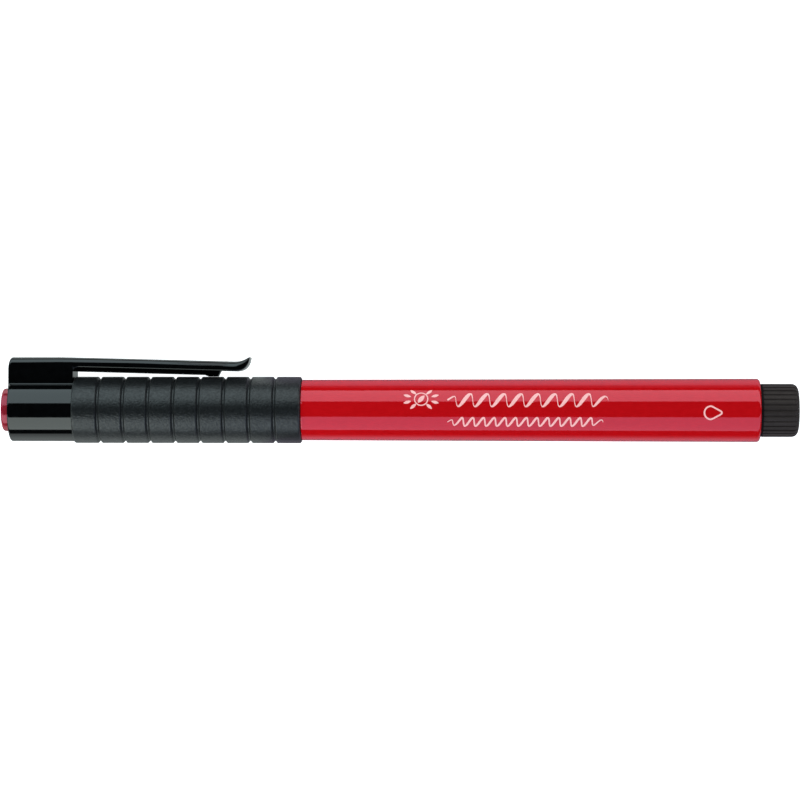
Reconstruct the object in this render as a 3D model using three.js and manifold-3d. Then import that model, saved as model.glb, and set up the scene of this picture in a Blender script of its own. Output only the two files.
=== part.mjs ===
// A fibre-tip brush pen with a push-on cap and a pocket clip, lying on its side with the cap on.
//
// Units are millimetres. +X runs along the pen from the cap end to the rear plug, +Y is the side that the
// clip stands on, and +Z is up. The origin lies on the table, under the middle of the bounding box.
//
// The round pieces are lathe solids about the pen's axis, all with the same number of sides in the same
// position, so pieces that sit in each other keep an even gap. Each [x, r] pair of a profile is a station
// along the axis and a radius there.
import * as THREE from "three";
import { mergeVertices } from "three/addons/utils/BufferGeometryUtils.js";
import Module from "manifold-3d";

const wasm = await Module();
wasm.setup();

// ---- Driving dimensions ------------------------------------------------------------------------------

const PEN_LENGTH = 139.06;
const SLIDE_GAP = 0.05; // between pieces that are pushed into or over each other
const SEAT_GAP = 0.1; // between two faces that meet end to end
const ROUND_SIDES = 36;

const BARREL = { frontRadius: 5.285, rearRadius: 5.51, boreRadius: 4.35, rimRadius: 0.8 };
const KNOB = {
  length: 6.58,
  radius: 4.66,
  ribs: 30,
  ribDepth: 0.16,
  cornerRadius: 1.15,
  boreRadius: 3.3,
  endWall: 2.5,
};
const CROWN = { length: 11.22, radius: 5.475, wall: 1.3, cornerRadius: 0.3 };
const BUTTON = { height: 1.4, radius: 3.76, stemRadius: 3.0, stemLength: 4.6 };
const SLEEVE = { length: 39.88, radius: 5.82, boreRadius: 5.07, edgeRadius: 0.35 };
const GROOVE = { count: 8, first: 4.54, pitch: 4.397, width: 0.78, floor: 0.26, depth: 0.38 };
const CORE = { outerRadius: 5.02, innerRadius: 4.62 }; // the cap's tube inside the ribbed sleeve
const CLIP = {
  halfWidth: 3.1,
  baseTop: 9.16, // heights above the pen's axis
  rootTop: 9.08,
  armTop: 8.55,
  thickness: 1.95,
  ribHalfWidth: 1.3,
  ribDepth: 0.5,
  length: 30.37, // from the hinge line to the tip
  flare: 0.6, // how far the tip turns up
};
const NOSE = {
  length: 25.8,
  gripRadius: 4.55,
  gripLength: 9.9,
  sealRadius: 3.4,
  tipRadius: 2.0,
  boreRadius: 1.5,
  spigotLength: 6.2,
  snapBack: 2.6, // the snap bead's distance from the barrel
  snapRise: 0.03,
};
const NIB = { radius: 1.42, bellyRadius: 1.5, exposed: 8.0, gap: 0.5, shankLength: 37 };
const LINER = { sealLength: 7.6, cavityRadius: 3.0, endWall: 1.2 };
const RESERVOIR = { length: 63.7, radius: 3.95, film: 0.14 };

// ---- Stations along the axis, from the middle of the pen ---------------------------------------------

const capEnd = -PEN_LENGTH / 2;
const rearEnd = PEN_LENGTH / 2;
const crownFace = capEnd + BUTTON.height;
const sleeveStart = crownFace + CROWN.length;
const capMouth = sleeveStart + SLEEVE.length;
const barrelFront = capMouth + SEAT_GAP;
const barrelRear = rearEnd - KNOB.length - SEAT_GAP;
const noseTip = barrelFront - NOSE.length;
const gripFront = barrelFront - NOSE.gripLength;
const hingeX = sleeveStart + 0.55;

// The sleeve lies on one of its flats. The axis is beside the middle of the box by half of what the clip
// adds to its width.
const flatRadius = SLEEVE.radius * Math.cos(Math.PI / ROUND_SIDES);
const axisY = -(CLIP.baseTop - flatRadius) / 2;
const axisZ = flatRadius;

// ---- Geometry helpers --------------------------------------------------------------------------------

function lathe(profile, sides = ROUND_SIDES) {
  const points = profile.map(([x, r]) => new THREE.Vector2(r, x));
  return new THREE.LatheGeometry(points, sides, Math.PI / sides).rotateZ(-Math.PI / 2);
}

// A quarter round between two profile points, turning from centre + radius * (cos, sin) of each angle.
function arc([cx, cr], radius, fromDegrees, toDegrees, steps = 4) {
  return Array.from({ length: steps + 1 }, (_, i) => {
    const a = THREE.MathUtils.degToRad(fromDegrees + ((toDegrees - fromDegrees) * i) / steps);
    return [cx + radius * Math.cos(a), cr + radius * Math.sin(a)];
  });
}

// A side outline in X and Y, made as thick as width across Z.
function slab(shape, width, curveSegments = 8) {
  const made = new THREE.ExtrudeGeometry(shape, { depth: width, bevelEnabled: false, curveSegments });
  return made.translate(0, 0, -width / 2);
}

function solid(geometry) {
  const bare = geometry.clone();
  bare.deleteAttribute("normal");
  bare.deleteAttribute("uv");
  const merged = mergeVertices(bare, 1e-4);
  return new wasm.Manifold(
    new wasm.Mesh({
      numProp: 3,
      vertProperties: new Float32Array(merged.attributes.position.array),
      triVerts: new Uint32Array(merged.index.array),
    }),
  );
}

function geometryOf(manifold) {
  const mesh = manifold.getMesh();
  const made = new THREE.BufferGeometry();
  made.setAttribute("position", new THREE.BufferAttribute(mesh.vertProperties, 3));
  made.setIndex(new THREE.BufferAttribute(mesh.triVerts, 1));
  made.computeVertexNormals();
  return made;
}

// ---- Materials ---------------------------------------------------------------------------------------

const plastic = (color, roughness) => new THREE.MeshStandardMaterial({ color, roughness, metalness: 0 });
const redGloss = plastic(0xb80d12, 0.15);
const blackGloss = plastic(0x0b0c0c, 0.12);
const blackSoft = plastic(0x2b2f30, 0.6);
const blackRibbed = plastic(0x2c2a2a, 0.55);
const blackSatin = plastic(0x141415, 0.35);
const linerPlastic = plastic(0xd9d9d2, 0.4);
const inkedFelt = plastic(0xa80f16, 0.9);
const inkedFibre = plastic(0xb02a2e, 0.95);
const clearFilm = plastic(0xe6e6e6, 0.3);

// ---- Barrel and what it holds ------------------------------------------------------------------------

function barrel() {
  const rim = BARREL.rimRadius;
  return lathe([
    [barrelFront, BARREL.boreRadius],
    [barrelFront, BARREL.frontRadius - 0.1],
    [barrelFront + 0.1, BARREL.frontRadius],
    ...arc([barrelRear - rim, BARREL.rearRadius - rim], rim, 90, 0),
    [barrelRear, BARREL.boreRadius],
    [barrelFront, BARREL.boreRadius],
  ]);
}

// The black nose: a grip that the cap slides over, a land that the inner cap seals on, a cone to the nib,
// and a spigot pushed into the barrel.
function frontSection() {
  const spigotRadius = BARREL.boreRadius - SLIDE_GAP;
  const spigotEnd = barrelFront + NOSE.spigotLength;
  const sealFront = gripFront - LINER.sealLength + 0.4;
  const snapX = barrelFront - NOSE.snapBack;
  return lathe([
    [noseTip, NOSE.boreRadius],
    [noseTip, NOSE.tipRadius - 0.2],
    [noseTip + 0.2, NOSE.tipRadius],
    [sealFront - 0.6, NOSE.sealRadius - 0.35],
    [sealFront, NOSE.sealRadius],
    [gripFront - 0.5, NOSE.sealRadius],
    [gripFront, NOSE.gripRadius - 0.35],
    [gripFront + 0.5, NOSE.gripRadius],
    [snapX - 0.5, NOSE.gripRadius],
    [snapX, NOSE.gripRadius + NOSE.snapRise],
    [snapX + 0.5, NOSE.gripRadius],
    [barrelFront - SLIDE_GAP, NOSE.gripRadius],
    [barrelFront - SLIDE_GAP, spigotRadius],
    [spigotEnd, spigotRadius],
    [spigotEnd, NOSE.boreRadius],
    [noseTip, NOSE.boreRadius],
  ]);
}

const nibRear = noseTip + NIB.shankLength;

function nibShank() {
  return lathe([
    [noseTip, 0],
    [noseTip, NIB.radius],
    [nibRear - 1, NIB.radius],
    [nibRear, NIB.radius - 0.5],
    [nibRear, 0],
  ], 18);
}

// The exposed brush, a tapering bundle with a fine point. It stands clear of the nose so that it can lean.
const brushBase = noseTip - NIB.gap;

function brushTip() {
  const length = NIB.exposed;
  const steps = 7;
  const taper = Array.from({ length: steps }, (_, i) => {
    const t = i / steps;
    return [brushBase - 0.6 - (length - 0.6) * t, NIB.bellyRadius * Math.pow(1 - t, 0.8)];
  }).reverse();
  return lathe([
    [brushBase - length, 0],
    ...taper,
    [brushBase, NIB.radius - 0.05],
    [brushBase, 0],
  ], 18);
}

const reservoirFront = barrelFront + 6.5;
const reservoirRear = reservoirFront + RESERVOIR.length;

function reservoirCore() {
  const socketDepth = nibRear - reservoirFront + 0.2;
  return lathe([
    [reservoirFront + socketDepth, 0],
    [reservoirFront + socketDepth, NOSE.boreRadius],
    [reservoirFront, NOSE.boreRadius],
    [reservoirFront, RESERVOIR.radius],
    [reservoirRear, RESERVOIR.radius],
    [reservoirRear, 0],
  ]);
}

function reservoirFilm() {
  const inner = RESERVOIR.radius + SLIDE_GAP;
  const outer = inner + RESERVOIR.film;
  const margin = 0.3;
  return lathe([
    [reservoirFront + margin, inner],
    [reservoirFront + margin, outer],
    [reservoirRear - margin, outer],
    [reservoirRear - margin, inner],
    [reservoirFront + margin, inner],
  ]);
}

// The ribbed knob that closes the barrel, with a hollow spigot that holds the reservoir forward.
function rearPlug() {
  const knobStart = rearEnd - KNOB.length;
  const spigotFront = reservoirRear + 1.5;
  const spigotRadius = BARREL.boreRadius - SLIDE_GAP;
  const body = lathe([
    [spigotFront, KNOB.boreRadius],
    [spigotFront, spigotRadius - 0.3],
    [spigotFront + 0.6, spigotRadius],
    [knobStart, spigotRadius],
    [knobStart, KNOB.radius + 0.1],
    ...arc([rearEnd - KNOB.cornerRadius, KNOB.radius - KNOB.cornerRadius], KNOB.cornerRadius, 90, 0),
    [rearEnd, 0],
    [rearEnd - KNOB.endWall, 0],
    [rearEnd - KNOB.endWall, KNOB.boreRadius],
    [spigotFront, KNOB.boreRadius],
  ]);
  const outline = new THREE.Shape();
  const steps = KNOB.ribs * 4;
  for (let i = 0; i < steps; i++) {
    const a = (2 * Math.PI * i) / steps;
    const r = KNOB.radius - KNOB.ribDepth * (i % 4 === 0 ? 1 : 0);
    if (i === 0) outline.moveTo(r * Math.cos(a), r * Math.sin(a));
    else outline.lineTo(r * Math.cos(a), r * Math.sin(a));
  }
  outline.closePath();
  const depth = rearEnd - spigotFront + 2;
  const ribbed = new THREE.ExtrudeGeometry(outline, { depth, bevelEnabled: false });
  ribbed.rotateY(Math.PI / 2).translate(spigotFront - 1, 0, 0);
  return geometryOf(solid(body).intersect(solid(ribbed)));
}

// ---- Cap ---------------------------------------------------------------------------------------------

const linerEnd = sleeveStart - 0.15;

// The inner cap seals on the nose and keeps the brush wet.
function innerCap() {
  const outer = CORE.innerRadius - SLIDE_GAP;
  const mouth = gripFront - 0.7;
  const sealEnd = mouth - LINER.sealLength + 0.4;
  const cavityEnd = linerEnd + LINER.endWall;
  return lathe([
    [linerEnd, 0],
    [linerEnd, outer - 0.4],
    [linerEnd + 0.4, outer],
    [mouth, outer],
    [mouth, NOSE.sealRadius + SLIDE_GAP + 0.3],
    [mouth - 0.5, NOSE.sealRadius + SLIDE_GAP],
    [sealEnd, NOSE.sealRadius + SLIDE_GAP],
    [sealEnd - 0.4, LINER.cavityRadius],
    [cavityEnd, LINER.cavityRadius],
    [cavityEnd, 0],
  ]);
}

// The crown's round body with the tube that the sleeve is fixed on, and the upright base of the clip.
function capShell() {
  const corner = CROWN.cornerRadius;
  const crownBore = CROWN.radius - CROWN.wall;
  const round = lathe([
    [crownFace, BUTTON.stemRadius + SLIDE_GAP],
    ...arc([crownFace + corner, CROWN.radius - corner], corner, 180, 90),
    [sleeveStart - SLIDE_GAP, CROWN.radius],
    [sleeveStart - SLIDE_GAP, CORE.outerRadius],
    [capMouth - 0.15, CORE.outerRadius],
    [capMouth - 0.15, CORE.innerRadius],
    [linerEnd - 0.05, CORE.innerRadius],
    [linerEnd - 0.05, crownBore],
    [crownFace + 1.4, crownBore],
    [crownFace + 1.4, BUTTON.stemRadius + SLIDE_GAP],
    [crownFace, BUTTON.stemRadius + SLIDE_GAP],
  ]);
  return geometryOf(solid(round).add(solid(clipBase())));
}

function clipBase() {
  const corner = 1.0;
  const overSleeve = SLEEVE.radius + SEAT_GAP;
  const inWall = CROWN.radius - CROWN.wall + 0.1;
  const end = hingeX - 0.15;
  const side = new THREE.Shape();
  side.moveTo(crownFace, inWall);
  side.lineTo(sleeveStart - SLIDE_GAP, inWall);
  side.lineTo(sleeveStart - SLIDE_GAP, overSleeve);
  side.lineTo(end, overSleeve);
  side.lineTo(end, CLIP.rootTop);
  side.lineTo(crownFace + corner, CLIP.baseTop);
  side.quadraticCurveTo(crownFace, CLIP.baseTop, crownFace, CLIP.baseTop - 1.6 * corner);
  side.closePath();
  return slab(side, 2 * CLIP.halfWidth);
}

// The springy arm of the clip, with the rib and the gripping bump under it.
function clipArm() {
  const root = hingeX + 0.15;
  const tip = hingeX + CLIP.length;
  const flareStart = tip - 3.0;
  const armBottom = CLIP.armTop - CLIP.thickness;
  const rootBottom = CLIP.rootTop - CLIP.thickness;
  const strip = new THREE.Shape();
  strip.moveTo(root, rootBottom);
  strip.lineTo(flareStart, armBottom);
  strip.quadraticCurveTo(tip - 0.6, armBottom + 0.15, tip, CLIP.armTop + CLIP.flare - 0.5);
  strip.lineTo(tip - 0.1, CLIP.armTop + CLIP.flare);
  strip.quadraticCurveTo(tip - 1.6, CLIP.armTop, flareStart, CLIP.armTop);
  strip.quadraticCurveTo((root + tip) / 2, CLIP.armTop + 0.1, root, CLIP.rootTop);

  const bumpX = hingeX + 24.2;
  const bumpBottom = SLEEVE.radius + SEAT_GAP;
  const inStrip = 0.6;
  const rib = new THREE.Shape();
  rib.moveTo(root, rootBottom + inStrip);
  rib.lineTo(root, rootBottom - CLIP.ribDepth);
  rib.lineTo(bumpX - 1.4, armBottom - CLIP.ribDepth);
  rib.lineTo(bumpX - 0.8, bumpBottom);
  rib.lineTo(bumpX + 0.8, bumpBottom);
  rib.lineTo(bumpX + 1.5, armBottom + 0.1);
  rib.lineTo(bumpX + 1.5, armBottom + inStrip);
  rib.closePath();
  return geometryOf(solid(slab(strip, 2 * CLIP.halfWidth)).add(solid(slab(rib, 2 * CLIP.ribHalfWidth))));
}

// The soft ribbed sleeve: nine bands parted by eight grooves.
function capSleeve() {
  const edge = SLEEVE.edgeRadius;
  const grooves = Array.from({ length: GROOVE.count }, (_, i) => {
    const x = sleeveStart + GROOVE.first + i * GROOVE.pitch;
    return [
      [x - GROOVE.width / 2, SLEEVE.radius],
      [x - GROOVE.floor / 2, SLEEVE.radius - GROOVE.depth],
      [x + GROOVE.floor / 2, SLEEVE.radius - GROOVE.depth],
      [x + GROOVE.width / 2, SLEEVE.radius],
    ];
  }).flat();
  return lathe([
    [sleeveStart, SLEEVE.boreRadius],
    ...arc([sleeveStart + edge, SLEEVE.radius - edge], edge, 180, 90, 2),
    ...grooves,
    ...arc([capMouth - edge, SLEEVE.radius - edge], edge, 90, 0, 2),
    [capMouth, SLEEVE.boreRadius],
    [sleeveStart, SLEEVE.boreRadius],
  ]);
}

// The coloured button pressed into the end of the crown.
function capEndPlug() {
  const edge = 0.3;
  const seat = crownFace - SLIDE_GAP;
  const stemEnd = seat + BUTTON.stemLength;
  return lathe([
    [capEnd, 0],
    ...arc([capEnd + edge, BUTTON.radius - edge], edge, 180, 90, 2),
    [seat, BUTTON.radius],
    [seat, BUTTON.stemRadius],
    [stemEnd - 0.3, BUTTON.stemRadius],
    [stemEnd, BUTTON.stemRadius - 0.3],
    [stemEnd, 2.1],
    [seat + 0.6, 2.1],
    [seat + 0.6, 0],
  ]);
}

// ---- The assembly ------------------------------------------------------------------------------------

const pen = new THREE.Group();
pen.position.set(0, axisY, axisZ);

const pieces = [
  ["barrel", barrel, redGloss],
  ["front_section", frontSection, blackSatin],
  ["nib_shank", nibShank, inkedFelt],
  ["brush_tip", brushTip, inkedFelt],
  ["reservoir_core", reservoirCore, inkedFibre],
  ["reservoir_film", reservoirFilm, clearFilm],
  ["rear_plug", rearPlug, blackRibbed],
  ["inner_cap", innerCap, linerPlastic],
  ["cap_shell", capShell, blackGloss],
  ["cap_sleeve", capSleeve, blackSoft],
  ["cap_end_plug", capEndPlug, redGloss],
  ["clip_arm", clipArm, blackGloss],
];
for (const [name, make, material] of pieces) {
  const mesh = new THREE.Mesh(make(), material);
  mesh.name = name;
  pen.add(mesh);
}

const part = new THREE.Group();
part.add(pen);

export default part;
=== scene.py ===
"""A fibre-tip brush pen with its cap on, lying on a pale table and seen from above.

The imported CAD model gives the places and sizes. Shapes here are in millimetres in the pen's own
coordinates: x along the pen from the cap to the rear plug, h above the axis towards the clip, and z up
from the axis. at() turns them into metres in the row frame.
"""

import math

import bmesh
import bpy
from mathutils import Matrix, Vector


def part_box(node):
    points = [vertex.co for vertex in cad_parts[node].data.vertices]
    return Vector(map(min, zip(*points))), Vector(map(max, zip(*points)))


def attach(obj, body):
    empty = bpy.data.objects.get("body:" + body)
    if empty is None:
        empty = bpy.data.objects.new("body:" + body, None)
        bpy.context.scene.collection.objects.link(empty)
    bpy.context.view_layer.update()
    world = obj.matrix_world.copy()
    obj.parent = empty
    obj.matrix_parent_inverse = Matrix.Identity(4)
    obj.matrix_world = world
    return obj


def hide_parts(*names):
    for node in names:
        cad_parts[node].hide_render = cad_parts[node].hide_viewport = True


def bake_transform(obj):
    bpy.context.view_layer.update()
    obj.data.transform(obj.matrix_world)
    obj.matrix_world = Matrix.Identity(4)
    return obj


MM = 0.001
ROUND = 144  # segments round the large turned pieces

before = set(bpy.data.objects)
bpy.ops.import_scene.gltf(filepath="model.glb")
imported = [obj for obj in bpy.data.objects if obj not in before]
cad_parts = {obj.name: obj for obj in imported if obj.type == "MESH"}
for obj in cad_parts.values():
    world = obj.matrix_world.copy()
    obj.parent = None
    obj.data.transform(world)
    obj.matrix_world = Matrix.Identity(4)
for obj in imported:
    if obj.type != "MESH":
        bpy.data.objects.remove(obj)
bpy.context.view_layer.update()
scene = bpy.context.scene


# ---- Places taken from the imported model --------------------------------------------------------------


def span(node, axis):
    """The lowest and highest coordinate of a CAD node along one row axis, in millimetres."""
    low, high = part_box(node)
    return low[axis] / MM, high[axis] / MM


barrel_low, barrel_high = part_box("barrel")
AXIS_Y = (barrel_low.y + barrel_high.y) / 2
AXIS_Z = (barrel_low.z + barrel_high.z) / 2
BUTTON_END, BUTTON_STEM = span("cap_end_plug", 0)
CROWN_FACE = span("cap_shell", 0)[0]
SLEEVE_START, CAP_MOUTH = span("cap_sleeve", 0)
BARREL_FRONT, BARREL_REAR = span("barrel", 0)
REAR_END = span("rear_plug", 0)[1]
NOSE_TIP = span("front_section", 0)[0]
BRUSH_POINT, BRUSH_BASE = span("brush_tip", 0)
CLIP_TIP = span("clip_arm", 0)[1]


def at(x, h, z):
    """A point of the pen in the row frame."""
    return Vector((x * MM, AXIS_Y + h * MM, AXIS_Z + z * MM))


# ---- Materials ---------------------------------------------------------------------------------------


class Nodes:
    """A material's node tree with short calls to add and join nodes."""

    def __init__(self, name):
        self.material = bpy.data.materials.new(name)
        self.material.use_nodes = True
        self.tree = self.material.node_tree
        self.shader = self.tree.nodes["Principled BSDF"]

    def add(self, kind, inputs=None, **settings):
        node = self.tree.nodes.new(kind)
        for key, value in settings.items():
            setattr(node, key, value)
        for key, value in (inputs or {}).items():
            if isinstance(value, bpy.types.NodeSocket):
                self.tree.links.new(value, node.inputs[key])
            else:
                node.inputs[key].default_value = value
        return node

    def set(self, **values):
        for key, value in values.items():
            socket = self.shader.inputs[key.replace("_", " ")]
            if isinstance(value, bpy.types.NodeSocket):
                self.tree.links.new(value, socket)
            else:
                socket.default_value = value
        return self

    def place(self, stretch=(1, 1, 1)):
        """Object coordinates in millimetres, scaled along each axis."""
        coords = self.add("ShaderNodeTexCoord").outputs["Object"]
        scale = tuple(s / MM for s in stretch)
        return self.add("ShaderNodeMapping", {"Vector": coords, "Scale": scale}).outputs["Vector"]

    def noise(self, scale, detail=3.0, stretch=(1, 1, 1)):
        inputs = {"Vector": self.place(stretch), "Scale": scale, "Detail": detail}
        return self.add("ShaderNodeTexNoise", inputs).outputs["Fac"]

    def between(self, value, low, high):
        """value, from 0 to 1, spread over low to high."""
        inputs = {"Value": value, "To Min": low, "To Max": high}
        return self.add("ShaderNodeMapRange", inputs).outputs["Result"]

    def mix(self, value, first, second):
        ramp = self.add("ShaderNodeValToRGB", {"Fac": value})
        ramp.color_ramp.elements[0].position = 0.35
        ramp.color_ramp.elements[1].position = 0.65
        ramp.color_ramp.elements[0].color = (*first, 1)
        ramp.color_ramp.elements[1].color = (*second, 1)
        return ramp.outputs["Color"]

    def bump(self, height, distance):
        """distance is the height of the relief in millimetres."""
        return self.add("ShaderNodeBump", {"Height": height, "Distance": distance * MM}).outputs["Normal"]


def moulded(
    name, first, second, roughness, grain=0.9, relief=0.0, relief_scale=6.0, mottle=None, **values
):
    """Moulded plastic: two near colours in soft clouds, uneven gloss, and a fine surface relief.

    mottle is the lowest and highest specular level, in patches as fine as the relief.
    """
    nodes = Nodes(name)
    clouds = nodes.noise(grain, 4.0)
    nodes.set(Base_Color=nodes.mix(clouds, first, second))
    nodes.set(Roughness=nodes.between(nodes.noise(grain * 2.3), *roughness), **values)
    if mottle:
        nodes.set(Specular_IOR_Level=nodes.between(nodes.noise(relief_scale * 0.8, 2.0), *mottle))
    if relief:
        nodes.set(Normal=nodes.bump(nodes.noise(relief_scale, 2.0), relief))
    return nodes.material


red_gloss = moulded(
    "red_gloss", (0.50, 0.0033, 0.0058), (0.53, 0.0039, 0.0068), (0.045, 0.075),
    Coat_Weight=0.75, Coat_Roughness=0.03, Specular_IOR_Level=1.0, Specular_Tint=(1, 0.1, 0.25, 1),
)
button_red = moulded(
    "button_red", (0.265, 0.013, 0.024), (0.295, 0.017, 0.030), (0.10, 0.16),
    Specular_IOR_Level=1.0, Specular_Tint=(1, 0.33, 0.44, 1),
)
crown_black = moulded("crown_black", (0.0009, 0.001, 0.0011), (0.0014, 0.0016, 0.0018), (0.05, 0.085))
sleeve_soft = moulded(
    "sleeve_soft", (0.0026, 0.0034, 0.0038), (0.0054, 0.0066, 0.0072), (0.27, 0.39),
    grain=1.3, relief=0.055, relief_scale=3.0, mottle=(0.22, 0.70), Sheen_Weight=0.05,
)
plug_black = moulded(
    "plug_black", (0.0095, 0.0072, 0.0068), (0.013, 0.0102, 0.0096), (0.52, 0.62),
    grain=1.1, relief=0.008, relief_scale=4.0, mottle=(0.28, 0.50), Specular_Tint=(1, 0.82, 0.75, 1),
    Sheen_Weight=0.08, Sheen_Tint=(1, 0.85, 0.78, 1),
)
nose_black = moulded(
    "nose_black", (0.004, 0.004, 0.004), (0.007, 0.007, 0.007), (0.28, 0.36), relief=0.003
)
liner_plastic = moulded(
    "liner_plastic", (0.66, 0.66, 0.63), (0.72, 0.72, 0.69), (0.35, 0.45), relief=0.003
)
print_white = moulded("print_white", (0.96, 0.44, 0.42), (0.97, 0.51, 0.49), (0.35, 0.5), grain=4.0)
# Near black and matte: painted shade, standing for the barrel's rear step shading the knob.
shade_collar_black = moulded(
    "shade_collar_black", (0.0022, 0.0016, 0.0016), (0.0034, 0.0025, 0.0025), (0.55, 0.7),
    Specular_IOR_Level=0.15,
)
ink_fibre = moulded("ink_fibre", (0.34, 0.02, 0.03), (0.42, 0.035, 0.045), (0.8, 0.95), relief=0.05)
clear_film = moulded("clear_film", (0.75, 0.75, 0.75), (0.8, 0.8, 0.8), (0.1, 0.2))


def brush_fibre():
    """Inked fibre, with fine strands that run along the brush."""
    nodes = Nodes("nib_fibre")
    strands = nodes.noise(9.0, 3.0, stretch=(0.06, 1, 1))
    nodes.set(Base_Color=nodes.mix(strands, (0.22, 0.004, 0.006), (0.42, 0.012, 0.016)))
    nodes.set(Roughness=nodes.between(strands, 0.55, 0.8), Normal=nodes.bump(strands, 0.06))
    return nodes.material


nib_fibre = brush_fibre()


# ---- Mesh helpers ------------------------------------------------------------------------------------


def piece(name, verts, faces, material, body, slot, sharp=32):
    """A mesh piece of the pen from points in pen coordinates, riding on a body."""
    mesh = bpy.data.meshes.new(name)
    mesh.from_pydata([at(*v) for v in verts], [], faces)
    work = bmesh.new()
    work.from_mesh(mesh)
    bmesh.ops.remove_doubles(work, verts=work.verts, dist=1e-7)
    bmesh.ops.recalc_face_normals(work, faces=work.faces)
    work.to_mesh(mesh)
    work.free()
    mesh.shade_smooth()
    mesh.set_sharp_from_angle(angle=math.radians(sharp))
    mesh.materials.append(material)
    obj = bpy.data.objects.new(name, mesh)
    scene.collection.objects.link(obj)
    if body:
        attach(obj, body)
    return obj


def rounded(corners, closed=False, steps=6):
    """A path through corners (a, b). A corner (a, b, radius) becomes an arc of that radius."""
    path = []
    count = len(corners)
    for i, corner in enumerate(corners):
        radius = corner[2] if len(corner) > 2 else 0
        here = Vector(corner[:2])
        if not radius or (not closed and i in (0, count - 1)):
            path.append(tuple(here))
            continue
        back = (Vector(corners[i - 1][:2]) - here).normalized()
        on = (Vector(corners[(i + 1) % count][:2]) - here).normalized()
        half = back.angle(on) / 2
        start = here + back * radius / math.tan(half)
        centre = here + (back + on).normalized() * radius / math.sin(half)
        arm = start - centre
        turn = math.copysign(math.pi - 2 * half, back.x * on.y - back.y * on.x)
        for k in range(steps + 1):
            c, s = math.cos(-turn * k / steps), math.sin(-turn * k / steps)
            path.append((centre.x + arm.x * c - arm.y * s, centre.y + arm.x * s + arm.y * c))
    return path


def held(path, closed):
    """The path with a point close to each end of its long stretches: smooth shading keeps them flat."""
    near = 0.12
    made = []
    count = len(path)
    for i, point in enumerate(path):
        made.append(point)
        if i == count - 1 and not closed:
            break
        here, there = Vector(point), Vector(path[(i + 1) % count])
        length = (there - here).length
        if length > 5 * near:
            step = (there - here) * (near / length)
            made += [tuple(here + step), tuple(there - step)]
    return made


def loft(loops, closed=False):
    """Points and faces of a skin over equal loops of points. Closed joins the last to the first."""
    count = len(loops[0])
    faces = []
    for i in range(len(loops) if closed else len(loops) - 1):
        low = i * count
        high = (i + 1) % len(loops) * count
        for k in range(count):
            n = (k + 1) % count
            faces.append((low + k, low + n, high + n, high + k))
    return [point for loop in loops for point in loop], faces


def turned(name, corners, material, body, slot, segments=ROUND, closed=False, sharp=32):
    """A piece turned about the pen's axis from corners (x, radius, rounding)."""
    angles = [2 * math.pi * k / segments for k in range(segments)]
    profile = held(rounded(corners, closed), closed)
    rings = [[(x, r * math.cos(a), r * math.sin(a)) for a in angles] for x, r in profile]
    return piece(name, *loft(rings, closed), material, body, slot, sharp)


def bezier(p0, p1, p2, p3, steps):
    """Points of a cubic curve, without its first."""
    made = []
    for k in range(1, steps + 1):
        t = k / steps
        u = 1 - t
        weights = (u * u * u, 3 * u * u * t, 3 * u * t * t, t * t * t)
        made.append(tuple(sum(w * p[i] for w, p in zip(weights, (p0, p1, p2, p3))) for i in (0, 1)))
    return made


def evenly(start, end, steps):
    """Values in equal steps from start to end, without start."""
    return [start + (end - start) * k / steps for k in range(1, steps + 1)]


# ---- Barrel and rear plug ----------------------------------------------------------------------------

BARREL_R = (5.305, 5.515)  # at the front and at the rear
BARREL_BORE = 4.35
BARREL_RIM = 0.55  # rounding of the rear edge


def make_barrel():
    corners = [
        (BARREL_FRONT, BARREL_BORE),
        (BARREL_FRONT, BARREL_R[0], 0.12),
        (BARREL_REAR, BARREL_R[1], BARREL_RIM),
        (BARREL_REAR, BARREL_BORE + 0.25),
        (BARREL_REAR - 0.3, BARREL_BORE),
    ]
    body = turned("barrel_shell", corners, red_gloss, "barrel", "red_gloss", closed=True)
    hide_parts("barrel")


KNOB_R = 4.63
KNOB_CORNER = 1.15
KNOB_START = BARREL_REAR + 0.42  # a plain collar shows between the barrel and the ribs, its near-black matte is painted shade
DIMPLE_R = 1.5
DIMPLE_DEPTH = 0.25
RIBS = 30
RIB_STEPS = 16  # points round each rib
RIB_DEPTH = 0.2
RIB_GROOVE = 0.46  # how much of each rib's spacing its groove takes
RIB_STEEPNESS = 1.7  # above 1 the groove has a flat floor
RIB_PHASE = 0.47  # turns the ribs, in shares of their spacing
RIB_END = 0.3  # the ribs stop this short of the end, after fading over RIB_FADE
RIB_FADE = 0.4
COLLAR_STEP = 0.03  # how far the collar lies below the ribs


def rib_groove(angle):
    """How deep the knob's surface lies at an angle, as a share of the rib depth."""
    phase = (angle * RIBS / (2 * math.pi) + RIB_PHASE) % 1
    from_groove = min(phase, 1 - phase) * 2 / RIB_GROOVE
    return min(1.0, max(0.0, 1 - from_groove) * RIB_STEEPNESS)


def knob_ring(x, radius):
    """The knob's outline at x, ribbed where it is near its full radius."""
    fade = min(1.0, max(0.0, (REAR_END - RIB_END - x) / RIB_FADE)) if radius > KNOB_R * 0.8 else 0.0
    made = []
    for k in range(RIBS * RIB_STEPS):
        a = 2 * math.pi * k / (RIBS * RIB_STEPS)
        reach = radius - RIB_DEPTH * rib_groove(a) * fade
        made.append((x, reach * math.cos(a), reach * math.sin(a)))
    return made


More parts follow.
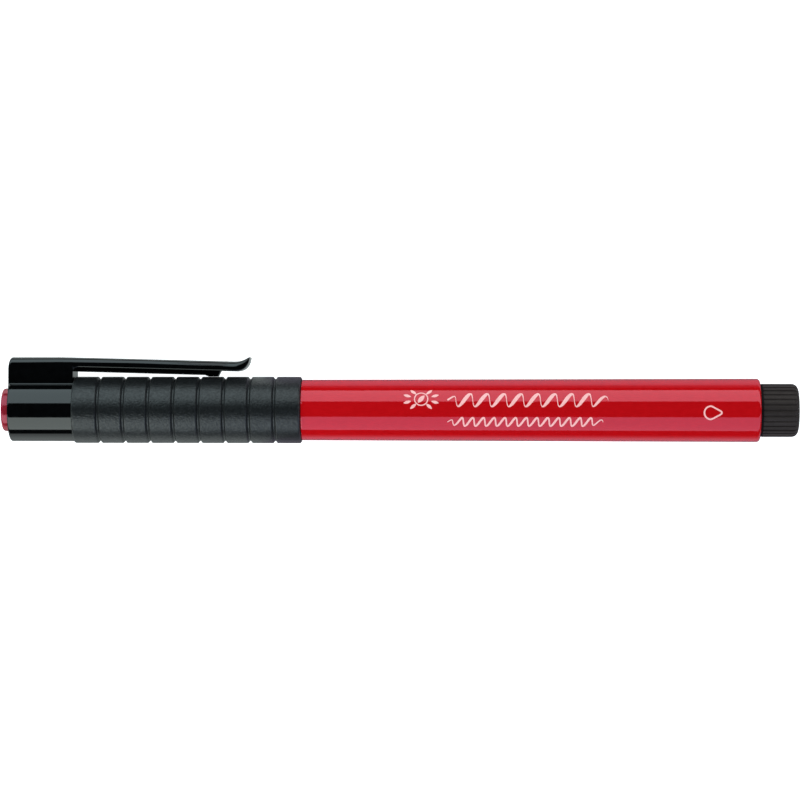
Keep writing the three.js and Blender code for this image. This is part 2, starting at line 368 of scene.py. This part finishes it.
def make_knob():
    """Fine ribs that run out at the rounded end, and a shallow moulded dimple in the end face."""
    corners = [
        (KNOB_START, KNOB_R - 0.3),
        (KNOB_START, KNOB_R, 0.06),
        (REAR_END, KNOB_R, KNOB_CORNER),
        (REAR_END, DIMPLE_R),
        (REAR_END - DIMPLE_DEPTH, DIMPLE_R - 0.3, 0.1),
        (REAR_END - DIMPLE_DEPTH, 0),
    ]
    profile = held(rounded(corners, steps=9), closed=False)
    skin = loft([knob_ring(x, r) for x, r in profile])
    knob = piece("rear_knob", *skin, plug_black, "barrel", "plug_black")
    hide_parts("rear_plug")


# A plain collar between the barrel and the ribs, near black as painted shade from the barrel's rear step.
def make_knob_collar():
    inner = BARREL_BORE - 0.05
    outer = KNOB_R - COLLAR_STEP
    corners = [
        (BARREL_REAR - 0.5, inner),
        (BARREL_REAR + 0.08, inner),
        (BARREL_REAR + 0.08, outer, 0.05),
        (KNOB_START + 0.02, outer),
        (KNOB_START + 0.02, KNOB_R - 0.6),
    ]
    turned("knob_shade_collar", corners, shade_collar_black, "barrel", "plug_black")


# ---- Cap ---------------------------------------------------------------------------------------------

SLEEVE_R = 5.82
SLEEVE_BORE = 5.07
SLEEVE_EDGE = 0.35  # rounding of both ends
GROOVES = 8
GROOVE_FIRST = 4.54  # from the sleeve's crown end to the middle of the first groove
GROOVE_PITCH = 4.397
GROOVE_MOUTH = 0.78  # width at the surface
GROOVE_FLOOR = 0.22  # width at the bottom
GROOVE_DEPTH = 0.38
GROOVE_LIP = 0.12  # rounding at the mouth
GROOVE_CORNER = 0.05  # rounding at the floor


def make_sleeve():
    floor = SLEEVE_R - GROOVE_DEPTH
    corners = [(SLEEVE_START, SLEEVE_BORE), (SLEEVE_START, SLEEVE_R, SLEEVE_EDGE)]
    for i in range(GROOVES):
        middle = SLEEVE_START + GROOVE_FIRST + i * GROOVE_PITCH
        corners += [
            (middle - GROOVE_MOUTH / 2, SLEEVE_R, GROOVE_LIP),
            (middle - GROOVE_FLOOR / 2, floor, GROOVE_CORNER),
            (middle + GROOVE_FLOOR / 2, floor, GROOVE_CORNER),
            (middle + GROOVE_MOUTH / 2, SLEEVE_R, GROOVE_LIP),
        ]
    corners += [(CAP_MOUTH, SLEEVE_R, SLEEVE_EDGE), (CAP_MOUTH, SLEEVE_BORE, 0.1)]
    sleeve = turned("grooved_sleeve", corners, sleeve_soft, "cap", "sleeve_soft", closed=True, sharp=50)
    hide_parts("cap_sleeve")


BUTTON_R = 3.76
STEM_R = 3.0  # the part of the button that is pressed into the crown


def make_button():
    back = CROWN_FACE - 0.03
    corners = [
        (BUTTON_END, 0),
        (BUTTON_END, BUTTON_R, 0.45),
        (back, BUTTON_R, 0.05),
        (back, STEM_R),
        (BUTTON_STEM, STEM_R, 0.2),
        (BUTTON_STEM, 0),
    ]
    button = turned("end_button", corners, button_red, "cap", "red_gloss", segments=96)
    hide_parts("cap_end_plug")


CROWN_R = 5.51
CROWN_EDGE = 0.3  # rounding of the crown's end
CROWN_WALL = 1.4  # thickness of the end wall
CROWN_SEAT = 5.0  # a ring on the flat face that the sleeve meets
CROWN_BORE = 4.2
BUTTON_BORE = 3.05
FIN_HALF = 3.1  # the fin is the upright base of the clip, moulded on the crown
FIN_FOOT = 0.22  # hollow rounding where the fin stands on the crown
FIN_END = 0.6  # the end of the fin is rounded over this length
FIN_END_DROP = 1.5  # and its top comes down by this much there
FIN_PROUD = 0.16  # how far the end of the fin stands out past the crown's end
FIN_PROUD_FROM = 3.2  # the height where it starts to stand out
FIN_PROUD_RAMP = 1.4
CLIP_TOP = 9.22
CLIP_LEVEL = 0.22  # the share of the clip's length that is nearly level
CLIP_FALL = 0.79  # how far the outer face comes down towards the tip
FIN_CORNER = 1.13  # rounding of the long outer edges
WAIST_LESS = 0.24  # taken off that rounding at the waist of the arm
WAIST_X = -46
WAIST_REACH = 20  # how far to each side of the waist the rounding changes


def clip_top(x):
    """Height of the clip's outer face, from the crown's end to where the tip turns up."""
    run = (x - CROWN_FACE) / (CLIP_TIP - CROWN_FACE)
    fallen = max(0.0, run - CLIP_LEVEL) / (1 - CLIP_LEVEL)
    return CLIP_TOP - 0.03 * run - CLIP_FALL * fallen * (0.9 + 0.11 * run)


def fin_corner(x):
    """Rounding of the long outer edges of the fin and of the clip, tightest at the waist of the arm."""
    return FIN_CORNER - WAIST_LESS * max(0.0, 1 - abs(x - WAIST_X) / WAIST_REACH)


def crown_section(radius, half, top, corner):
    """Half of the crown's outline across the pen, from the side opposite the clip round to its top."""
    foot = FIN_FOOT
    centre_h = math.sqrt((radius + foot) ** 2 - (half + foot) ** 2)
    lean = math.atan2(half + foot, centre_h)
    made = []
    for k in range(61):
        a = math.pi + (lean - math.pi) * k / 60
        made.append((radius * math.cos(a), radius * math.sin(a)))
    for k in range(1, 7):
        a = lean + math.pi + (math.pi / 2 - lean) * k / 6
        made.append((centre_h + foot * math.cos(a), half + foot + foot * math.sin(a)))
    for k in range(0, 11):
        a = math.pi / 2 * (1 - k / 10)
        made.append((top - corner + corner * math.cos(a), half - corner + corner * math.sin(a)))
    made.append((top, 0))
    return made


def crown_stations():
    """Places along the crown as (x, inset): the rounded edge of its end, then straight to the sleeve."""
    made = []
    for k in range(7):
        a = math.pi / 2 * k / 6
        made.append((CROWN_FACE + CROWN_EDGE * (1 - math.cos(a)), CROWN_EDGE * (1 - math.sin(a))))
    made += [(CROWN_FACE + d, 0) for d in (0.4, 0.5, FIN_END)]
    made += [(CROWN_FACE + (SLEEVE_START - CROWN_FACE) * t, 0) for t in (0.2, 0.5, 0.8, 1)]
    return made


def crown_loop(x, inset):
    """The crown's whole outline at x. The end of the fin is rounded and stands a little proud."""
    to_end = max(0.0, 1 - (x - CROWN_FACE) / FIN_END)
    top = clip_top(x) - FIN_END_DROP * (1 - math.sqrt(1 - to_end**2))
    half = crown_section(CROWN_R - inset, FIN_HALF - inset, top, fin_corner(x) - inset)
    made = []
    for h, z in half + [(h, -z) for h, z in half[-2:0:-1]]:
        on_fin = min(1.0, max(0.0, (h - FIN_PROUD_FROM) / FIN_PROUD_RAMP))
        made.append((x - FIN_PROUD * to_end * on_fin, h, z))
    return made


def make_crown():
    """The glossy crown with the upright base of the clip, closed by its end wall and its inner bore."""
    loops = [crown_loop(x, inset) for x, inset in crown_stations()]
    angles = [math.atan2(z, h) for _, h, z in loops[0]]
    wall = CROWN_FACE + CROWN_WALL
    inner = [
        (SLEEVE_START, CROWN_SEAT), (SLEEVE_START, CROWN_BORE), (wall, CROWN_BORE),
        (wall, BUTTON_BORE), (CROWN_FACE, BUTTON_BORE),
    ]
    loops += [[(x, r * math.cos(a), r * math.sin(a)) for a in angles] for x, r in inner]
    skin = loft(loops, closed=True)
    crown = piece("cap_crown", *skin, crown_black, "cap", "crown_black", sharp=40)
    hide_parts("cap_shell")


TUBE_R = 5.02
TUBE_BORE = 4.62


def make_cap_tube():
    """The hard tube inside the soft sleeve, seen in the cap's mouth."""
    start = SLEEVE_START - 0.2
    mouth = CAP_MOUTH - 0.15
    corners = [(start, TUBE_BORE), (start, TUBE_R), (mouth, TUBE_R, 0.1), (mouth, TUBE_BORE, 0.1)]
    turned("cap_tube", corners, crown_black, "cap", "crown_black", closed=True)


ARM_THICK = 1.7
ARM_EDGE = 0.22  # rounding of the arm's long edges on the side towards the sleeve
ARM_FLOOR = SLEEVE_R + 0.04  # where the arm's root ends above the sleeve
SLOT_END = SLEEVE_START + 0.04
TIP_TOP = 9.24
TIP_EDGE = 0.16
FLARE = CLIP_TIP - 2.7  # where the outer face begins to turn up
CHIN = CLIP_TIP - 2.5  # where the curve under the tip ends
RIB_HALF = 1.1
RIB_DROP = 0.76
RIB_EDGE = 0.18
BUMP_X = -32.45
BUMP_FLOOR = SLEEVE_R + 0.03


def edged(points, edges):
    """Points (x, h) with their edge rounding."""
    return [(x, h, edge) for (x, h), edge in zip(points, edges)]


def arm_top():
    """The outer face from the fin to where it begins to turn up."""
    return [(x, clip_top(x), fin_corner(x)) for x in [SLEEVE_START] + evenly(SLEEVE_START, FLARE, 12)]


def arm_tip():
    """The tip: its rise, its edge and the curve back to the underside."""
    under = clip_top(FLARE) - ARM_THICK
    edge = (CLIP_TIP, TIP_TOP - 0.2)
    rise = bezier(
        (FLARE, clip_top(FLARE)), (FLARE + 1.4, clip_top(FLARE + 1.4)),
        (CLIP_TIP - 0.9, TIP_TOP - 0.4), (CLIP_TIP - 0.05, TIP_TOP), 10,
    )
    chin = bezier(edge, (CLIP_TIP - 0.25, 7.6), (CLIP_TIP - 1.0, under), (CHIN, under), 12)
    rise_edges = evenly(fin_corner(FLARE), 0.2, len(rise))
    chin_edges = evenly(TIP_EDGE, ARM_EDGE, len(chin))
    return edged(rise, rise_edges) + [(*edge, TIP_EDGE)] + edged(chin, chin_edges)


def arm_underside():
    """The underside back to the slot's end, with a small hollow there, and down to the sleeve."""
    root = SLOT_END + 1.1
    low = clip_top(root) - ARM_THICK
    hollow = bezier((root, low), (root - 0.7, low), (SLOT_END, low - 0.1), (SLOT_END, low - 0.6), 8)
    hollow.append((SLOT_END, ARM_FLOOR))
    hollow_edges = [max(0.0, ARM_EDGE - 0.04 * (k + 1)) for k in range(len(hollow))]
    straight = [(x, clip_top(x) - ARM_THICK, ARM_EDGE) for x in evenly(CHIN, root, 12)]
    return straight + edged(hollow, hollow_edges) + [(SLEEVE_START, ARM_FLOOR, 0.0)]


def arm_half(x):
    """Half the arm's width, which draws in towards the end of the tip."""
    return FIN_HALF - 0.8 * max(0.0, 1 - (CLIP_TIP - x) / 2.4) ** 2


def inward_normals(outline, square_start):
    """The direction into the outline at each of its points."""
    count = len(outline)
    made = []
    for i in range(count):
        here = Vector(outline[i][:2])
        into = (here - Vector(outline[i - 1][:2])).normalized()
        out_of = (Vector(outline[(i + 1) % count][:2]) - here).normalized()
        if square_start and i == 0:
            into = out_of
        if square_start and i == count - 1:
            out_of = into
        along = into + out_of
        made.append(Vector((along.y, -along.x)).normalized())
    return made


def plate(outline, half, steps=7, square_start=False):
    """A solid plate of a side outline, 2 * half(x) wide, its long edges rounded as each point says.

    A square start leaves the face between the last point and the first without rounding.
    """
    count = len(outline)
    inward = inward_normals(outline, square_start)
    right = []
    for k in range(steps + 1):
        a = math.pi / 2 * k / steps
        loop = []
        for (x, h, r), n in zip(outline, inward):
            shift = r * (1 - math.sin(a))
            loop.append((x + n.x * shift, h + n.y * shift, half(x) - r * (1 - math.cos(a))))
        right.append(loop)
    left = [[(x, h, -z) for x, h, z in loop] for loop in reversed(right)]
    verts, faces = loft(right + left)
    faces.append(tuple(range(count)))
    faces.append(tuple(range(len(verts) - count, len(verts))))
    return verts, faces


def rib_outline():
    """The narrower rib under the arm with the bump that grips, from the side."""
    root = SLOT_END - 0.15
    at_root = clip_top(root) - ARM_THICK
    at_bump = clip_top(BUMP_X) - ARM_THICK
    path = [
        (root, at_root + 0.7),
        (root, at_root - RIB_DROP),
        (BUMP_X - 1.45, at_bump - RIB_DROP, 0.2),
        (BUMP_X - 0.85, BUMP_FLOOR, 0.15),
        (BUMP_X + 0.8, BUMP_FLOOR, 0.15),
        (BUMP_X + 1.35, at_bump + 0.05, 0.05),
        (BUMP_X + 1.35, at_bump + 0.7),
    ]
    return [(x, h, RIB_EDGE) for x, h in rounded(path, closed=True, steps=4)][::-1]


def make_clip():
    """The arm and its rib, one moulding that runs on from the crown's fin."""
    verts, faces = plate(arm_top() + arm_tip() + arm_underside(), arm_half, square_start=True)
    rib_verts, rib_faces = plate(rib_outline(), lambda x: RIB_HALF, steps=4)
    offset = len(verts)
    verts += rib_verts
    faces += [tuple(offset + i for i in face) for face in rib_faces]
    clip = piece("pocket_clip", verts, faces, crown_black, None, "crown_black", sharp=50)
    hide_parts("clip_arm")
    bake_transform(clip)


# ---- Nose and brush ----------------------------------------------------------------------------------

NIB_BORE = 1.46
NOSE_R = 2.0  # of the face that the brush comes out of
SEAL_R = 3.4  # of the band that the inner cap closes on
SEAL_LENGTH = 7.2
GRIP_R = 4.55
GRIP_LENGTH = 9.9
SNAP_RISE = 0.03  # height of the bead that holds the cap
SPIGOT_R = 4.3  # of the part pushed into the barrel


def make_nose():
    grip = BARREL_FRONT - GRIP_LENGTH
    seal = grip - SEAL_LENGTH
    snap = BARREL_FRONT - 2.6
    shoulder = BARREL_FRONT - 0.05
    spigot_end = BARREL_FRONT + 2.0
    corners = [
        (NOSE_TIP + 0.6, NIB_BORE), (NOSE_TIP, NIB_BORE, 0.05), (NOSE_TIP, NOSE_R, 0.2),
        (seal - 0.6, SEAL_R - 0.35, 0.4), (seal, SEAL_R, 0.3), (grip - 0.5, SEAL_R, 0.1),
        (grip, GRIP_R - 0.35, 0.1), (grip + 0.5, GRIP_R, 0.3),
        (snap - 0.4, GRIP_R, 0.2), (snap, GRIP_R + SNAP_RISE, 0.2), (snap + 0.4, GRIP_R, 0.2),
        (shoulder, GRIP_R, 0.05), (shoulder, SPIGOT_R), (spigot_end, SPIGOT_R), (spigot_end, NIB_BORE),
    ]
    nose = turned(
        "nose_grip", corners, nose_black, "barrel", "nose_black", segments=96, closed=True, sharp=24
    )
    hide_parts("front_section")


BRUSH_R = 1.5
BRUSH_FOOT_R = 1.4  # where it enters the nose


def make_brush():
    """The soft point of the brush, one piece from inside the nose to the tip."""
    foot = NOSE_TIP + 0.5
    corners = [(BRUSH_POINT, 0)]
    for t in evenly(0, 1, 40):
        belly = BRUSH_R * t**0.62 * (1 - 0.06 * t**4)
        corners.append((BRUSH_POINT + (BRUSH_BASE - BRUSH_POINT) * t, belly))
    corners += [(NOSE_TIP, BRUSH_FOOT_R), (foot, BRUSH_FOOT_R), (foot, 0)]
    brush = turned("brush_point", corners, nib_fibre, None, "nib_fibre", segments=48)
    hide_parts("brush_tip")
    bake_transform(brush)


# ---- Printed marks -----------------------------------------------------------------------------------

PRINT_LIFT = 0.012  # above the barrel, so that the two surfaces don't flicker
STROKE_COLUMNS = 5


def barrel_radius(x):
    return BARREL_R[0] + (BARREL_R[1] - BARREL_R[0]) * (x - BARREL_FRONT) / (BARREL_REAR - BARREL_FRONT)


def printed(name, patches):
    """Thin ink on the barrel, in grids of (x, distance round the barrel from its top line)."""
    verts, faces = [], []
    for grid in patches:
        start = len(verts)
        width = len(grid[0])
        for row in grid:
            for x, around in row:
                r = barrel_radius(x) + PRINT_LIFT
                a = around / r
                verts.append((x, r * math.sin(a), r * math.cos(a)))
        for i in range(len(grid) - 1):
            for k in range(width - 1):
                low, high = start + i * width, start + (i + 1) * width
                faces.append((low + k, low + k + 1, high + k + 1, high + k))
    piece(name, verts, faces, print_white, "barrel", "red_gloss")


def stroke(points, widths):
    """A patch along a line of (x, around) points with its width at each."""
    shares = [k / (STROKE_COLUMNS - 1) - 0.5 for k in range(STROKE_COLUMNS)]
    grid = []
    for i, ((x, s), w) in enumerate(zip(points, widths)):
        before = points[max(0, i - 1)]
        after = points[min(len(points) - 1, i + 1)]
        along = Vector((after[0] - before[0], after[1] - before[1])).normalized()
        grid.append([(x - along.y * w * share, s + along.x * w * share) for share in shares])
    return grid


def ring(x, s, radius, width, point=0.0):
    """A round outline. A point above 0 draws its +x side out to a tip, as in a drop."""
    points = []
    for a in [0.0] + evenly(0, 2 * math.pi, 48):
        reach = 1 + point * max(0.0, math.cos(a)) ** 3
        across = math.sin(a) * (1 - 0.45 * point * max(0.0, math.cos(a)))
        points.append((x + radius * reach * math.cos(a), s + radius * across))
    return stroke(points, [width] * len(points))


def leaf(x, s, length, width, degrees):
    """A filled shape with two points, as wide as width in its middle."""
    a = math.radians(degrees)
    points, widths = [], []
    for t in [0.0] + evenly(0, 1, 14):
        points.append((x + (t - 0.5) * length * math.cos(a), s + (t - 0.5) * length * math.sin(a)))
        widths.append(width * math.sin(math.pi * t) ** 0.8 + 0.02)
    return stroke(points, widths)


def print_emblem(x, s):
    """A ring with a leaf in it, between two sprays of small leaves."""
    patches = [ring(x, s, 1.15, 0.2), leaf(x, s, 1.75, 0.75, 50)]
    reach = 2.6
    for side in (-1, 1):
        for turn in (-58, -22, 22, 58):
            a = math.radians(turn)
            middle = (x + side * reach * math.cos(a), s + reach * 0.6 * math.sin(a))
            patches.append(leaf(*middle, 1.35, 0.5, side * turn * 0.7))
    printed("print_emblem", patches)


def print_wave(name, left, right, middle, waves, rise, thin, thick):
    """One pen stroke that swells and thins as it waves."""
    points, widths = [], []
    for t in [0.0] + evenly(0, 1, int(waves * 28)):
        turn = 2 * math.pi * waves * t
        grown = 0.4 + 0.6 * min(1.0, 12 * t, 12 * (1 - t))
        lean = 0.3 * rise * math.sin(turn)
        points.append((left + (right - left) * t + lean, middle + rise * grown * math.sin(turn)))
        widths.append((thin + (thick - thin) * (0.5 + 0.5 * math.sin(turn + 1.3)) ** 1.5) * grown)
    printed(name, [stroke(points, widths)])


def make_prints():
    """Generic marks where such pens carry print."""
    print_emblem(4.05, 2.0)
    print_wave("print_wave", 8.6, 36.4, middle=1.8, waves=9.5, rise=1.15, thin=0.14, thick=0.66)
    print_wave("print_ripple", 8.6, 35.5, middle=-2.1, waves=14.5, rise=0.78, thin=0.26, thick=0.38)
    printed("print_drop", [ring(54.1, -0.4, 1.15, 0.28, point=0.62)])


# ---- Inner pieces ------------------------------------------------------------------------------------


def make_inner():
    for node, material in (
        ("nib_shank", nib_fibre), ("reservoir_core", ink_fibre),
        ("reservoir_film", clear_film), ("inner_cap", liner_plastic),
    ):
        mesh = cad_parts[node].data
        mesh.materials.clear()
        mesh.materials.append(material)


# ---- Table, light and camera, in metres --------------------------------------------------------------


def emitter(name, color):
    """A material that only gives light."""
    material = bpy.data.materials.new(name)
    material.use_nodes = True
    tree = material.node_tree
    tree.nodes.remove(tree.nodes["Principled BSDF"])
    emission = tree.nodes.new("ShaderNodeEmission")
    emission.inputs["Color"].default_value = (*color, 1)
    tree.links.new(emission.outputs[0], tree.nodes["Material Output"].inputs["Surface"])
    return material


def sheet(name, x_span, y_span, z, material):
    """A flat sheet of the stage, not part of the pen."""
    mesh = bpy.data.meshes.new(name)
    mesh.from_pydata([(x, y, z) for x in x_span for y in y_span], [], [(0, 1, 3, 2)])
    mesh.materials.append(material)
    obj = bpy.data.objects.new(name, mesh)
    scene.collection.objects.link(obj)
    return obj


TABLE_REACH = 3.0
TABLE_Z = -0.0003  # just below the pen
GLOW_Z = -0.0006
GLOW_LEFT = -0.12
GLOW_RIGHT = 0.08
GLOW_REACH = 0.4  # to each side of the pen


def make_table():
    """A white table that gives some light, so that it looks as pale as the background.

    The pen's gloss doesn't see it, and sees the glow sheets in its place.
    """
    nodes = Nodes("table_white")
    nodes.set(Base_Color=(0.8, 0.8, 0.8, 1), Roughness=1.0, Specular_IOR_Level=0.0)
    nodes.set(Emission_Color=(1, 1, 1, 1), Emission_Strength=0.85)
    reach = (-TABLE_REACH, TABLE_REACH)
    table = sheet("table", reach, reach, TABLE_Z, nodes.material)
    table.visible_glossy = False


def table_glow(name, x_from, x_to, color, levels):
    """A sheet under the table that only the pen's gloss sees, with painted shade: darker close by, where
    a real table lies in the pen's shadow.

    levels are (distance from the axis towards the clip in millimetres, radiance), in order.
    """
    material = emitter(name, color)
    tree = material.node_tree
    coords = tree.nodes.new("ShaderNodeTexCoord")
    split = tree.nodes.new("ShaderNodeSeparateXYZ")
    across = tree.nodes.new("ShaderNodeMapRange")
    ramp = tree.nodes.new("ShaderNodeValToRGB")
    across.inputs["From Min"].default_value = AXIS_Y - GLOW_REACH
    across.inputs["From Max"].default_value = AXIS_Y + GLOW_REACH
    stops = ramp.color_ramp.elements
    while len(stops) < len(levels):
        stops.new(0.5)
    for stop, (distance, radiance) in zip(stops, levels):
        stop.position = 0.5 + distance * MM / (2 * GLOW_REACH)
        stop.color = (radiance, radiance, radiance, 1)
    tree.links.new(coords.outputs["Object"], split.inputs[0])
    tree.links.new(split.outputs["Y"], across.inputs["Value"])
    tree.links.new(across.outputs["Result"], ramp.inputs["Fac"])
    tree.links.new(ramp.outputs["Color"], tree.nodes["Emission"].inputs["Strength"])
    glow = sheet(name, (x_from, x_to), (AXIS_Y - GLOW_REACH, AXIS_Y + GLOW_REACH), GLOW_Z, material)
    glow.visible_camera = False
    glow.visible_diffuse = False
    glow.visible_shadow = False


def make_glows():
    # Radiance across each sheet, with the pen's shadow on the table painted in as lower levels near the
    # axis.
    barrel_glow_painted_shade = [
        (-42, 0.0), (-29, 0.1), (-20, 0.27), (-14.8, 0.40), (-11.7, 0.38), (-9.1, 0.23),
        (-6, 0.08), (0, 0.02), (7, 0.12), (9.4, 0.21), (13, 0.33), (21, 0.5),
        (37, 0.45), (46, 0.15), (120, 0.12), (390, 0.1),
    ]
    cap_glow_painted_shade = [
        (-85, 0.0), (-50, 0.44), (-17, 0.46), (-10.6, 0.25), (-8, 0.16), (-4, 0.03),
        (4, 0.06), (7, 0.22), (9.5, 0.28), (12, 0.35), (20, 0.6), (30, 0.8), (50, 0.8), (60, 0.0),
    ]
    split = (CAP_MOUTH - 7) * MM
    table_glow("glow_barrel", split, GLOW_RIGHT, (0.95, 0.88, 1.15), barrel_glow_painted_shade)
    table_glow("glow_cap", GLOW_LEFT, split, (1.8, 2, 1.98), cap_glow_painted_shade)


PANEL_DISTANCE = 0.5  # from the pen's axis to both edges of a light


def panel(name, near, far, x_from, x_to, color, radiance):
    """A soft light between two angles from straight up, in degrees towards the clip if positive."""
    ends = []
    for degrees in (near, far):
        a = math.radians(degrees)
        reach = (PANEL_DISTANCE * math.sin(a), PANEL_DISTANCE * math.cos(a))
        ends.append(Vector((0, AXIS_Y + reach[0], AXIS_Z + reach[1])))
    middle = (ends[0] + ends[1]) / 2
    middle.x = (x_from + x_to) / 2
    data = bpy.data.lights.new(name, "AREA")
    data.shape = "RECTANGLE"
    data.size = x_to - x_from
    data.size_y = (ends[1] - ends[0]).length
    data.color = color
    data.energy = radiance * math.pi * data.size * data.size_y
    obj = bpy.data.objects.new(name, data)
    obj.location = middle
    facing = Vector((0, AXIS_Y - middle.y, AXIS_Z - middle.z)).normalized()
    obj.rotation_mode = "QUATERNION"
    obj.rotation_quaternion = facing.to_track_quat("-Z", "Y")
    scene.collection.objects.link(obj)
    return obj


CAMERA_DISTANCE = 0.5153  # from the pen's axis
CAMERA_LEAN = 2.1  # degrees from straight up, towards the barrel
FRAME_WIDTH = 0.140  # what the picture spans at the axis
AIM = (0.0002, 0.0001)  # the place on the pen at the middle of the picture
PICTURE_TURN = 0.045  # degrees


def make_camera():
    data = bpy.data.cameras.new("camera")
    data.sensor_width = 36
    data.lens = data.sensor_width * CAMERA_DISTANCE / FRAME_WIDTH
    camera = bpy.data.objects.new("camera", data)
    lean = math.radians(CAMERA_LEAN)
    camera.location = (
        AIM[0] + CAMERA_DISTANCE * math.sin(lean), AIM[1], AXIS_Z + CAMERA_DISTANCE * math.cos(lean),
    )
    camera.rotation_euler = (0, lean, math.radians(PICTURE_TURN))
    scene.collection.objects.link(camera)
    scene.camera = camera


def make_world():
    """Dark for light and reflections, white where the camera looks past the table."""
    world = bpy.data.worlds.new("studio")
    scene.world = world
    world.use_nodes = True
    tree = world.node_tree
    background = tree.nodes["Background"]
    path = tree.nodes.new("ShaderNodeLightPath")
    level = tree.nodes.new("ShaderNodeMapRange")
    level.inputs["To Min"].default_value = 0.004
    level.inputs["To Max"].default_value = 1.0
    tree.links.new(path.outputs["Is Camera Ray"], level.inputs["Value"])
    tree.links.new(level.outputs["Result"], background.inputs["Strength"])
    background.inputs["Color"].default_value = (1, 1, 1, 1)


PANELS_LEFT = -1.2
PANELS_SPLIT = -0.075  # the lights left of here show in the crown, the others in the sleeve and barrel
PANELS_RIGHT = 3.0


def make_lights():
    """A long soft light on each side in two lengths, and one overhead that the gloss doesn't see."""
    panel("clip_side_barrel", 32.8, 79, PANELS_SPLIT, PANELS_RIGHT, (0.8, 0.91, 0.95), 1.9)
    panel("clip_side_crown", 24.2, 80.5, PANELS_LEFT, PANELS_SPLIT, (0.76, 0.95, 1.0), 2.3)
    panel("far_side_barrel", -25.2, -80.5, PANELS_SPLIT, PANELS_RIGHT, (0.65, 0.78, 1.0), 1.4)
    panel("far_side_crown", -28.4, -77.5, PANELS_LEFT, PANELS_SPLIT, (0.88, 1, 0.97), 2.9)
    overhead = panel("overhead", -30, 30, -0.4, 0.4, (1, 0.98, 0.97), 0.5)
    overhead.visible_glossy = False


make_barrel()
make_knob()
make_knob_collar()
make_sleeve()
make_button()
make_crown()
make_cap_tube()
make_clip()
make_nose()
make_brush()
make_prints()
make_inner()
make_table()
make_glows()
make_world()
make_lights()
make_camera()
scene.view_settings.view_transform = "Standard"
